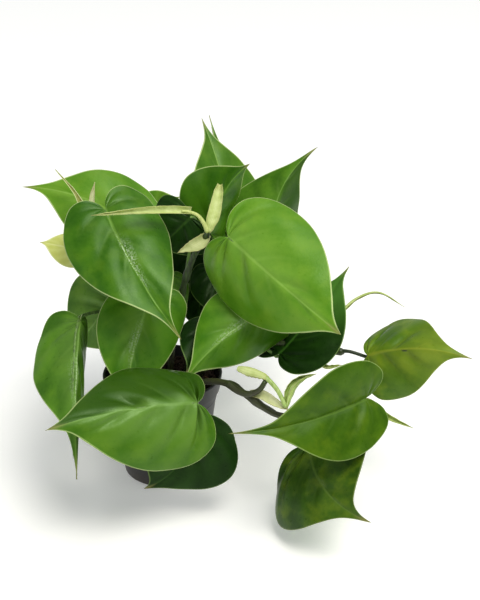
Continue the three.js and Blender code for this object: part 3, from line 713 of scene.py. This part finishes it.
# Waxy leaf tissue: chlorophyll green under a thin clear wax, so a soft broad gloss. The upper face
# is painted darker in the furrows at the veins and lighter on the bulges between them, as painted
# shade and light; the midrib and rim are pale. Colours are deep, fresh, vein and rim. blotch is how
# much turns yellow-green and haze how much dried hard water whitens the midrib. half is the side of
# the blade turned to the light, sheen a painted sheen of the vein colour on it near the midrib, shade
# how much darker the other half is painted as shade, and daylight how far the tip's end is painted
# lighter, as painted light where the rest hangs in shade. The shaded and lit finishes carry colours
# darkened as painted shade for blades that hang in shade.
LEAF_FINISHES = {
    "sunlit": (("#275403", "#427010", "#759d40", "#c8d894"), 0.08, 0.85, -1, 0.1, 0.1),
    "fresh": (("#4a7b12", "#649024", "#85ac49", "#ccdb98"), 0.1, 0, -1, 0.3, 0),
    "tender": (("#38650e", "#4f7b1c", "#8fb458", "#ccdb98"), 0.1, 0, 1, 0.1, 0.1),
    "mature": (("#30590c", "#4f7c1a", "#769c46", "#bccf88"), 0.06, 0.5, 1, 0.3, 0.12),
    "broad": (("#345e0b", "#4d7519", "#6f9447", "#b4c880"), 0.05, 0, -1, 0.4, 0.8),
    "even": (("#3d6614", "#588023", "#7a9e50", "#b4c880"), 0.05, 0, 1, 0.1, 0),
    "inner": (("#3a6c0f", "#5a8a1f", "#82aa4e", "#c2d48e"), 0.06, 0.7, 1, 0.3, 0.3),
    "dull": (("#2d4e06", "#42640c", "#5f8032", "#90a85f"), 0.12, 0, 1, 0, 0),
    "clean": (("#275403", "#427010", "#5f8a2c", "#b4c880"), 0.08, 0, 1, 0.1, 0.4),
    "parted": (("#30590c", "#4f7c1a", "#769c46", "#bccf88"), 0.06, 0, -1, 0.1, 0.7),
    # painted shade: shaded and lit colours are darkened for blades in shade; lit paints its tip's end lighter
    "lit": (("#0e2606", "#1d3b0d", "#4a7d29", "#8aa85f"), 0, 0, 1, 0, 0, 0.85),
    "shaded": (("#0e2606", "#1d3b0d", "#31501b", "#6f8a4a"), 0, 0, 1, 0, 0),
    "mottled": (("#3c600b", "#557812", "#87932c", "#8f9c45"), 0.38, 0, 1, 0.2, 0, 0.35),
    "old": (("#213d07", "#385811", "#58722e", "#6d7c38"), 0.25, 0, 1, 0.1, 0.1),
    "young": (("#b6bc60", "#d0d588", "#d3d796", "#e2e5bb"), 0.2, 0, 1, 0, 0),
}
SHADED_LOOKS = ("shaded", "lit", "dull", "clean", "parted")    # half the gloss of the others
LEAF_GLOSS, SHADED_GLOSS = 0.4, 0.2
WAX_TINT = "#cbeab8"
BLOTCH = "#7f901c"
DRY_TIP = "#8b8350"      # the last tenth of a blade dries first
HAZE = "#c4d6b4"


def leaf_tissue(name, colours, blotch, haze, half=1, painted_sheen=0, painted_shade=0, painted_daylight=0):
    """The upper face of a blade. It follows the blade's own map: across it and from notch to tip."""
    made, tree, shader = new_material(name, roughness=0.36, ior=1.45)
    wax = SHADED_GLOSS if name.split("_")[-1] in SHADED_LOOKS else LEAF_GLOSS
    fill(shader, {"Specular IOR Level": wax, "Specular Tint": linear(WAX_TINT)})
    deep, fresh, vein, rim = (linear(colour) for colour in colours)
    # painted shade: the deep colour darkened for the half of the blade turned from the light
    painted_shade_colour = [0.55 * channel for channel in deep[:3]] + [1]
    place = add_node(tree, "TexCoord").outputs["Object"]
    flat = add_node(tree, "UVMap", uv_map="UVMap")
    axes = add_node(tree, "SeparateXYZ", {"Vector": flat})
    side = add_node(tree, "Math", {1: 2, 2: -1, 0: axes.outputs["X"]}, operation="MULTIPLY_ADD")
    q = add_node(tree, "Math", {0: side}, operation="ABSOLUTE")
    arch = add_node(tree, "Math", {0: q, 1: q}, operation="MULTIPLY")
    bent = add_node(tree, "Math", {1: -VEIN_ARCH, 0: arch, 2: axes.outputs["Y"]}, operation="MULTIPLY_ADD")
    left = add_node(tree, "Math", {0: side}, operation="SIGN")
    shift = add_node(tree, "Math", {1: 0.25, 0: left}, operation="MULTIPLY")
    phase = add_node(tree, "Math", {1: SIDE_VEINS, 0: bent, 2: shift}, operation="MULTIPLY_ADD")
    to_vein = add_node(tree, "Math", {1: 0.5, 0: phase}, operation="PINGPONG")
    narrow = add_node(tree, "MapRange", {"To Min": 0.14, "To Max": 0.05, "Value": q})
    vein_line = add_node(
        tree, "MapRange", {"From Min": 0, "To Min": 1, "To Max": 0, "Value": to_vein, "From Max": narrow},
        **SMOOTH)
    fade = add_node(
        tree, "MapRange", {"From Min": 0.05, "From Max": 0.7, "To Min": 0.2, "To Max": 0, "Value": q})
    vein_mask = add_node(tree, "Math", {0: vein_line, 1: fade}, operation="MULTIPLY")

    # Broad tone: clouds 22 mm across, and lighter strips halfway between the veins, painted light on the
    # bulges with painted shade in the furrows at the veins.
    clouds = add_node(tree, "TexNoise", {"Scale": 1 / (22 * MM), "Detail": 3, "Vector": place})
    fine = add_node(tree, "TexNoise", {"Scale": 1 / (2.2 * MM), "Detail": 4, "Vector": place})
    # painted shade in the furrows at the veins, painted light on the bulges between them
    clouds_and_groove_shade = add_node(tree, "Math", {1: 0.35, 0: to_vein, 2: clouds}, operation="MULTIPLY_ADD")
    grainy_clouds_and_groove_shade = add_node(tree, "Math", {1: 0.2, 0: fine, 2: clouds_and_groove_shade}, operation="MULTIPLY_ADD")
    tone = add_node(tree, "MapRange", {"From Min": 0.42, "From Max": 0.95, "Value": grainy_clouds_and_groove_shade}, **SMOOTH)

    # Soft yellow-green blotches 11 mm across. The two halves, the sheen and the end in daylight are painted
    # shade and painted light.
    spots = add_node(
        tree, "TexNoise", {"Scale": 1 / (11 * MM), "Detail": 4, "Roughness": 0.55, "Vector": place})
    blotch_mask = add_node(
        tree, "MapRange", {"From Min": 0.45, "From Max": 0.72, "To Max": blotch, "Value": spots}, **SMOOTH)
    light_half = add_node(
        tree, "MapRange", {"From Min": -0.25 * half, "From Max": 0.06 * half, "Value": side}, **SMOOTH)
    # painted shade: the half turned from the light is darkened
    painted_shade_half = add_node(tree, "MapRange", {"To Min": painted_shade, "To Max": 0, "Value": light_half})
    # painted sheen near the midrib, on the half turned to the light
    inner = add_node(
        tree, "MapRange", {"From Min": 0.1, "From Max": 0.75, "To Min": painted_sheen, "To Max": 0, "Value": q},
        **SMOOTH)
    painted_sheen_mask = add_node(tree, "Math", {0: inner, 1: light_half}, operation="MULTIPLY")
    # painted light: the tip's end turns lighter where the rest of the blade hangs in shade
    painted_light_end = add_node(
        tree, "MapRange", {"From Min": 0.5, "From Max": 0.85, "To Max": painted_daylight, "Value": axes.outputs["Y"]},
        **SMOOTH)
    rib = add_node(tree, "Attribute", attribute_name="rib")
    rib_mask = add_node(
        tree, "MapRange",
        {"From Min": 0.4, "From Max": 1.6, "To Min": 0.55, "To Max": 0, "Value": rib.outputs["Fac"]},
        **SMOOTH)

    # Hard-water haze: streaks and grains on one side of the midrib, in the blade's middle.
    stretch = add_node(tree, "Mapping", {"Scale": (26, 5, 1), "Vector": flat})
    streaks = add_node(tree, "TexNoise", {"Scale": 1, "Detail": 6, "Roughness": 0.7, "Vector": stretch})
    haze_mask = add_node(
        tree, "MapRange", {"From Min": 0.4, "From Max": 0.58, "To Max": haze, "Value": streaks})
    beside_rib = add_node(
        tree, "MapRange",
        {"From Min": -0.03 * half, "From Max": 0.32 * half, "To Min": 1, "To Max": 0, "Value": side},
        **SMOOTH)
    one_side = add_node(tree, "MapRange", {"From Min": -0.1 * half, "From Max": -0.03 * half, "Value": side})
    to_middle = add_node(tree, "Math", {1: 0.7, 0: axes.outputs["Y"]}, operation="PINGPONG")
    middle = add_node(tree, "MapRange", {"From Min": 0.55, "From Max": 0.66, "Value": to_middle}, **SMOOTH)
    grains = add_node(tree, "TexNoise", {"Scale": 1 / (0.9 * MM), "Detail": 1, "Vector": place})
    grain_mask = add_node(tree, "MapRange", {"From Min": 0.42, "From Max": 0.6, "Value": grains})
    for mask in (beside_rib, one_side, middle, grain_mask):
        haze_mask = add_node(tree, "Math", {0: haze_mask, 1: mask}, operation="MULTIPLY")

    rim_distance = add_node(tree, "Attribute", attribute_name="rim")
    rim_mask = add_node(
        tree, "MapRange",
        {"From Min": 0.4, "From Max": 1.1, "To Min": 0.7, "To Max": 0, "Value": rim_distance.outputs["Fac"]},
        **SMOOTH)
    tip_mask = add_node(
        tree, "MapRange", {"From Min": 0.91, "From Max": 0.99, "To Max": 0.7, "Value": axes.outputs["Y"]},
        **SMOOTH)
    skin = add_node(tree, "Mix", {"A": deep, "B": fresh, "Factor": tone}, **COLOURS)
    for colour, mask in [
            (linear(BLOTCH), blotch_mask), (painted_shade_colour, painted_shade_half), (vein, painted_sheen_mask), (vein, painted_light_end),
            (vein, vein_mask), (vein, rib_mask), (linear(HAZE), haze_mask), (rim, rim_mask),
            (linear(DRY_TIP), tip_mask)]:
        skin = add_node(tree, "Mix", {"B": colour, "Factor": mask, "A": skin}, **COLOURS)

    # The wax is smoother between the veins. Side veins are sunk, and the tissue is finely cobbled.
    gloss = add_node(
        tree, "MapRange", {"From Min": 0.3, "From Max": 0.7, "To Min": 0.27, "To Max": 0.38, "Value": fine})
    cobbles = add_node(tree, "TexVoronoi", {"Scale": 1 / (1.1 * MM), "Vector": place}, feature="SMOOTH_F1")
    sunk = add_node(tree, "Math", {1: -3, 0: vein_mask, 2: cobbles}, operation="MULTIPLY_ADD")
    relief = add_node(tree, "Bump", {"Strength": 0.35, "Distance": 0.12 * MM, "Height": sunk})
    fill(shader, {"Base Color": skin, "Roughness": gloss, "Normal": relief})
    return made


UNDERSIDE = ("#52742b", "#6f8f42", "#97b068", "#bccd92")
# painted shade: the underside colours darkened for blades that hang in shade
UNDERSIDE_SHADED = ("#1d3811", "#2f4e1d", "#4c6b33", "#7a9455")
STALK_GREEN = "#6f9440"
STALK_DARK = "#46622a"
upper = {look: leaf_tissue("leaf_upper_" + look, *finish) for look, finish in LEAF_FINISHES.items()}
under = leaf_tissue("leaf_underside", UNDERSIDE, 0.1, 0)
under_shaded = leaf_tissue("leaf_underside_shaded", UNDERSIDE_SHADED, 0, 0)
stalk_skin = stem_tissue("waxy_leaf_stalk", STALK_GREEN, STALK_DARK, STEM_CORK, 30)
stalk_skin_dark = stem_tissue("waxy_leaf_stalk_dark", STEM_DARK, "#26341a", STEM_CORK, 30)
DARK_STALKS = ("leaf_far_right", "leaf_hanging_right")

for number, (name, stem, at, *pose, finish) in enumerate(LEAVES):
    form = leaf_form(*pose)
    bm = bmesh.new()
    uv_layer = bm.loops.layers.uv.new("UVMap")
    rib_layer = bm.verts.layers.float.new("rib")
    rim_layer = bm.verts.layers.float.new("rim")
    stalk(bm, form, stem, at)
    bmesh.ops.recalc_face_normals(bm, faces=bm.faces)
    blade(bm, form, number, DEEPNESS.get(name, 1), uv_layer, rib_layer, rim_layer)
    # blades in shade get the underside with painted shade
    skins = [
        upper[finish], under_shaded if finish in ("shaded", "lit") else under,
        stalk_skin_dark if name in DARK_STALKS else stalk_skin]
    new_piece(name + "_blade", bm, skins, name)


# Bracts
# Papery sheaths that wrapped each new leaf and stay at its joint, drying from green to cream. Each is
# a thin half-rolled strip that tapers to a point; the longest has a narrow neck and an open mouth.
BRACT_THICKNESS = 0.35
BRACT_COLUMNS, BRACT_ROWS = 16, 44
BRACT_VEINS = 9
TOWARDS_VIEW = (0, -0.9, 0.43)
BRACT_EDGE_RUFFLE = 0.18
# Route, then the width in millimetres and the half roll in degrees at even steps along it, then the
# side that the open edges face.
BRACTS = {
    "bract_long": (
        [(20, 6.4, 171.6), (12, 4, 173), (-6, -3, 175), (-36, -14, 176)],
        (4.4, 4.8, 4.6, 4, 3, 1.9, 0.3), (80, 85, 95, 110, 130, 150, 150), (0.1, -0.8, 0.6)),
    "bract_upright": (
        [(28, 8, 155), (32, 12, 165), (34, 20, 172), (36, 30, 180)],
        (2.4, 5.6, 7.6, 7.6, 6.8, 5.8, 3), (150, 110, 75, 60, 60, 80, 100), TOWARDS_VIEW),
    "bract_small": (
        [(29, 6, 156), (24, -2, 155), (12, -11, 152)],
        (4, 7, 8.6, 8, 6, 3, 0.3), (130, 90, 65, 60, 70, 90, 110), (0, -0.75, 0.65)),
    "bract_left_upright": (
        [(-34, 16, 131), (-41.5, 29, 159), (-42, 32, 169), (-40, 36, 179)],
        (4.8, 5, 5.2, 5, 4.6, 3.2, 0.4), (110, 80, 60, 50, 50, 70, 100), TOWARDS_VIEW),
    "bract_left_spike": (
        [(-38, 17, 140), (-45, 25, 160), (-51, 32, 172), (-65, 45, 184)],
        (4, 5.4, 5.6, 4, 2.2, 1.2, 0.6), (60, 60, 60, 70, 90, 120, 150), TOWARDS_VIEW),
    "bract_right_spike": (
        [(106, -16, 91), (107, 4, 100), (119, 16, 109.5), (133, 18, 113.5), (149, 11, 107)],
        (3.2, 3.4, 2.8, 2.2, 1.7, 1.2, 0.3), (100, 110, 120, 140, 150, 150, 150), (0.3, -0.8, -0.5)),
    "bract_low_spike": (
        [(111, -53.5, 75), (120, -56, 79), (130, -64, 75), (144, -74, 73)],
        (4, 5, 5, 4, 3, 1.8, 0.3), (110, 100, 90, 100, 120, 150, 150), (0.1, -0.8, 0.6)),
    "bract_right_stub": (
        [(95, -12, 90), (98, -26, 86), (107, -34, 91)],
        (3, 3.4, 3.4, 3, 2.6, 1.8, 0.3), (100, 100, 100, 110, 120, 130, 140), (0.2, -0.4, 0.9)),
}


def between(values, share):
    """The value at a share of the way along a row of evenly spaced values."""
    place = share * (len(values) - 1)
    i = min(int(place), len(values) - 2)
    w = place - i
    w = w * w * (3 - 2 * w)
    return values[i] * (1 - w) + values[i + 1] * w


def sheath(bm, uv_layer, points, widths, rolls, facing, seed):
    """A strip half rolled about the route, with its open edges on the facing side."""
    others = set(bm.faces)
    route = even_route(points, BRACT_ROWS)
    tangents = tangents_of(route)
    vary = random.Random(seed)
    phase, waves = vary.uniform(0, math.tau), vary.uniform(5, 8)
    verts = bmesh.ops.create_grid(
        bm, x_segments=BRACT_COLUMNS, y_segments=BRACT_ROWS, size=1, calc_uvs=True)["verts"]
    below = {}
    for vert in verts:
        across, along = vert.co.x, (vert.co.y + 1) / 2
        i = round(along * BRACT_ROWS)
        face = (Vector(facing) - tangents[i] * tangents[i].dot(Vector(facing))).normalized()
        side = tangents[i].cross(face)
        half, roll = between(widths, along) / 2, math.radians(between(rolls, along))
        radius = half / math.sin(min(roll, math.pi / 2))
        turn = roll * across
        ruffle = BRACT_EDGE_RUFFLE * across ** 4 * min(half, 1)
        ruffle *= math.sin(math.tau * waves * along + phase + across)
        keel = route[i] + face * (radius - half + ruffle)
        spoke = side * math.sin(turn) - face * math.cos(turn)
        vert.co = keel + spoke * radius
        below[tuple(vert.co)] = keel + spoke * max(radius - BRACT_THICKNESS, 0.4 * radius)
    shell(bm, verts, others, below)


# Papery bract tissue: almost matt, cream with fine green lengthwise veins and a drier brown edge.
# The shoot's own skins are greener and waxier. Colours are body, light, vein and edge.
BRACT_FINISHES = {
    "cream": ("#b2c071", "#cad592", "#9bb058", "#b0a867"),
    "green": ("#a5bb5c", "#c4d184", "#86a145", "#9a9750"),
    "pale": ("#c3c98f", "#d6d9ac", "#a9b478", "#b3a673"),
    "dry": ("#9fa86e", "#b7bd86", "#94a25c", "#a89868"),
    "split": ("#858a3a", "#979c4a", "#757d34", "#d2da9a"),
    "rolled": ("#7d9c40", "#a8c067", "#cfdc98", "#8c7b45"),
}


def bract_tissue(name, body, light, vein, edge, roughness, edge_start=0.42, edge_share=0.35):
    """Thin sheath skin. Its veins run along the strip's own map."""
    made, tree, shader = new_material(name, roughness=roughness, ior=1.45)
    place = add_node(tree, "TexCoord").outputs["Object"]
    flat = add_node(tree, "UVMap", uv_map="UVMap")
    axes = add_node(tree, "SeparateXYZ", {"Vector": flat})
    clouds = add_node(tree, "TexNoise", {"Scale": 1 / (5 * MM), "Detail": 4, "Vector": place})
    tone = add_node(tree, "MapRange", {"From Min": 0.35, "From Max": 0.65, "Value": clouds})
    skin = add_node(tree, "Mix", {"A": linear(body), "B": linear(light), "Factor": tone}, **COLOURS)
    bands = add_node(tree, "Math", {1: BRACT_VEINS, 0: axes.outputs["X"]}, operation="MULTIPLY")
    to_vein = add_node(tree, "Math", {1: 0.5, 0: bands}, operation="PINGPONG")
    vein_mask = add_node(
        tree, "MapRange", {"From Min": 0, "From Max": 0.16, "To Min": 0.55, "To Max": 0, "Value": to_vein},
        **SMOOTH)
    veined = add_node(tree, "Mix", {"B": linear(vein), "Factor": vein_mask, "A": skin}, **COLOURS)
    off_centre = add_node(tree, "Math", {1: 0.5, 0: axes.outputs["X"]}, operation="SUBTRACT")
    to_edge = add_node(tree, "Math", {0: off_centre}, operation="ABSOLUTE")
    edge_mask = add_node(
        tree, "MapRange", {"From Min": edge_start, "From Max": 0.49, "To Max": edge_share, "Value": to_edge},
        **SMOOTH)
    tip_mask = add_node(
        tree, "MapRange", {"From Min": 0.82, "From Max": 1, "To Max": 0.4, "Value": axes.outputs["Y"]},
        **SMOOTH)
    dry = add_node(tree, "Math", {0: edge_mask, 1: tip_mask}, operation="MAXIMUM")
    mix = add_node(tree, "Mix", {"B": linear(edge), "Factor": dry, "A": veined}, **COLOURS)
    relief = add_node(tree, "Bump", {"Strength": 0.5, "Distance": 0.12 * MM, "Height": to_vein})
    fill(shader, {"Base Color": mix, "Normal": relief})
    return made


bract_cream = bract_tissue("papery_bract_cream", *BRACT_FINISHES["cream"], 0.55)
bract_dry = bract_tissue("papery_bract_dry", *BRACT_FINISHES["dry"], 0.6)
bract_green = bract_tissue("papery_bract_green", *BRACT_FINISHES["green"], 0.5)
bract_pale = bract_tissue("papery_sheath_pale", *BRACT_FINISHES["pale"], 0.5)
leaf_rolled = bract_tissue("rolled_leaf_green", *BRACT_FINISHES["rolled"], 0.36)
shoot_skin = stem_tissue("young_shoot_skin", "#b4ca7a", "#8eab52", "#a3a866", 20)
neck_skin = stem_tissue("bract_neck_skin", "#cdd689", "#b2c069", "#b8b872", 20)
bract_split = bract_tissue("split_spike_olive", *BRACT_FINISHES["split"], 0.5, 0.3, 0.9)

BRACT_SKINS = {
    "bract_small": bract_dry, "bract_left_upright": bract_pale, "bract_left_spike": bract_split,
    "bract_right_spike": bract_green, "bract_low_spike": bract_green, "bract_right_stub": bract_green,
}
LONG_NECK = [(29, 6, 158), (26.5, 6.6, 164), (23, 6.6, 168.6), (18, 5.8, 171), (14, 4.6, 172)]
for number, (name, form) in enumerate(BRACTS.items()):
    bm = bmesh.new()
    uv_layer = bm.loops.layers.uv.new("UVMap")
    if name == "bract_long":
        sweep(bm, even_route(LONG_NECK, 16), [1.5 - 0.05 * i for i in range(17)], 10, skin=2)
        bmesh.ops.recalc_face_normals(bm, faces=bm.faces)
    sheath(bm, uv_layer, *form, number)
    skin = BRACT_SKINS.get(name, bract_cream)
    new_piece(name + "_sheath", bm, [skin, skin, neck_skin], name)


# Young shoot
# A side shoot just opening on the low right stem: a short dark spur carries a joint in a pale sheath,
# a thin stem curves out of it, and at its end a papery sheath falls back from a leaf still rolled up.
DARK_CURL = [(41, -38, 81), (47, -44, 79.5), (53, -48.5, 80), (59, -50, 83.5), (62.5, -49.5, 89)]
JOINT_WRAP = [(47, -41.5, 91.5), (51.5, -43.5, 91.8), (57, -46, 91.4), (64, -48.5, 89.5)]
SHOOT_STEM = [(56, -45, 91.5), (59, -46.5, 91.5), (62, -48, 91), (69, -53, 85.5), (74, -59.5, 77.5)]
FALLEN_SHEATH = [(54, -46, 79.3), (60, -50.5, 81), (67, -56, 79.5), (75, -60.5, 77)]
ROLLED_LEAF = [(74, -59, 77), (75.5, -52, 81), (78.5, -47, 85), (84, -44, 88), (92, -43.5, 90.5)]
bm = bmesh.new()
uv_layer = bm.loops.layers.uv.new("UVMap")
sweep(bm, even_route(SHOOT_STEM, 24), [1.5 - 0.012 * i for i in range(25)], 12, skin=3)
sweep(bm, even_route(DARK_CURL, 20), [2.4 - 0.05 * i for i in range(21)], 12, skin=4)
bmesh.ops.recalc_face_normals(bm, faces=bm.faces)
pieces = (
    (JOINT_WRAP, (5.2, 6, 6.4, 6.2, 5.8, 5.4, 3.6), (100, 120, 135, 135, 125, 115, 110),
        (-0.2, -0.5, -0.8), 0),
    (FALLEN_SHEATH, (3.6, 5, 5.6, 5.6, 4.8, 3.4, 1), (120, 80, 60, 60, 70, 90, 120), (-0.5, -0.6, 0.6), 1),
    (ROLLED_LEAF, (2.2, 4.2, 5.6, 5.2, 4, 2, 0.3), (165, 150, 140, 140, 150, 165, 170), (-0.6, -0.6, 0.5), 2),
)
for points, widths, rolls, facing, skin in pieces:
    before = set(bm.faces)
    sheath(bm, uv_layer, points, widths, rolls, facing, skin)
    for face in bm.faces:
        if face not in before:
            face.material_index = skin
skins = [bract_cream, bract_pale, leaf_rolled, shoot_skin, stem_skin]
new_piece("young_shoot", bm, skins, "shoot_young")


# Stage
# A plain pale floor under soft light from above, and the camera at the photo's viewing angle.
FLOOR_COLOUR = "#f4f4f1"
FLOOR_GLOW = 0.22        # the floor glows a little, painted light that keeps shadows on it pale
FLOOR_RADIUS = 6000
SUN_POWER = 1.4
SUN_SPREAD = 45
SUN_SIDE = Vector((0.35, -0.1, 1))
SKY_COLOUR = "#f3f6fa"
SKY_POWER = 0.42
LAMPS = [                # name, place in metres, size, power in watts and colour
    ("key", (0.5, -0.8, 1.7), 0.8, 18, "#fffaf0"),
    ("fill", (-1.4, -1.1, 0.9), 1.4, 3, "#f2f6ff"),
]
TARGET = Vector((48, 19, 108)) * MM
CAMERA_DISTANCE = 650
CAMERA_ELEVATION = 25
LENS = 62.9
SENSOR = 36
bm = bmesh.new()
bmesh.ops.create_circle(bm, cap_ends=True, segments=64, radius=FLOOR_RADIUS)
floor = new_object("floor", mesh_of("floor", bm))
pale, tree, shader = new_material("pale_floor", roughness=0.9)
fill(shader, {
    "Base Color": linear(FLOOR_COLOUR), "Emission Color": linear(FLOOR_COLOUR),
    "Emission Strength": FLOOR_GLOW})
floor.data.materials.append(pale)


def aimed(data, name, position, target):
    """Puts a light or camera at a position, looking at the target."""
    made = new_object(name, data)
    made.location = position
    made.rotation_euler = (target - position).to_track_quat("-Z", "Y").to_euler()
    return made


up = math.radians(CAMERA_ELEVATION)
camera_data = bpy.data.cameras.new("camera")
camera_data.sensor_width = SENSOR
camera_data.lens = LENS
back = Vector((0, -math.cos(up), math.sin(up))) * CAMERA_DISTANCE * MM
bpy.context.scene.camera = aimed(camera_data, "camera", TARGET + back, TARGET)

for name, position, size, power, colour in LAMPS:
    lamp = bpy.data.lights.new(name, "AREA")
    lamp.size = size
    lamp.energy = power
    lamp.color = linear(colour)[:3]
    aimed(lamp, name, Vector(position), TARGET)

sun_data = bpy.data.lights.new("window_light", "SUN")
sun_data.energy = SUN_POWER
sun_data.angle = math.radians(SUN_SPREAD)
aimed(sun_data, "window_light", TARGET + SUN_SIDE, TARGET)

world = bpy.data.worlds.new("studio")
world.use_nodes = True
fill(world.node_tree.nodes["Background"], {"Color": linear(SKY_COLOUR), "Strength": SKY_POWER})
bpy.context.scene.world = world
bpy.context.scene.view_settings.view_transform = "Standard"

bpy.context.view_layer.update()
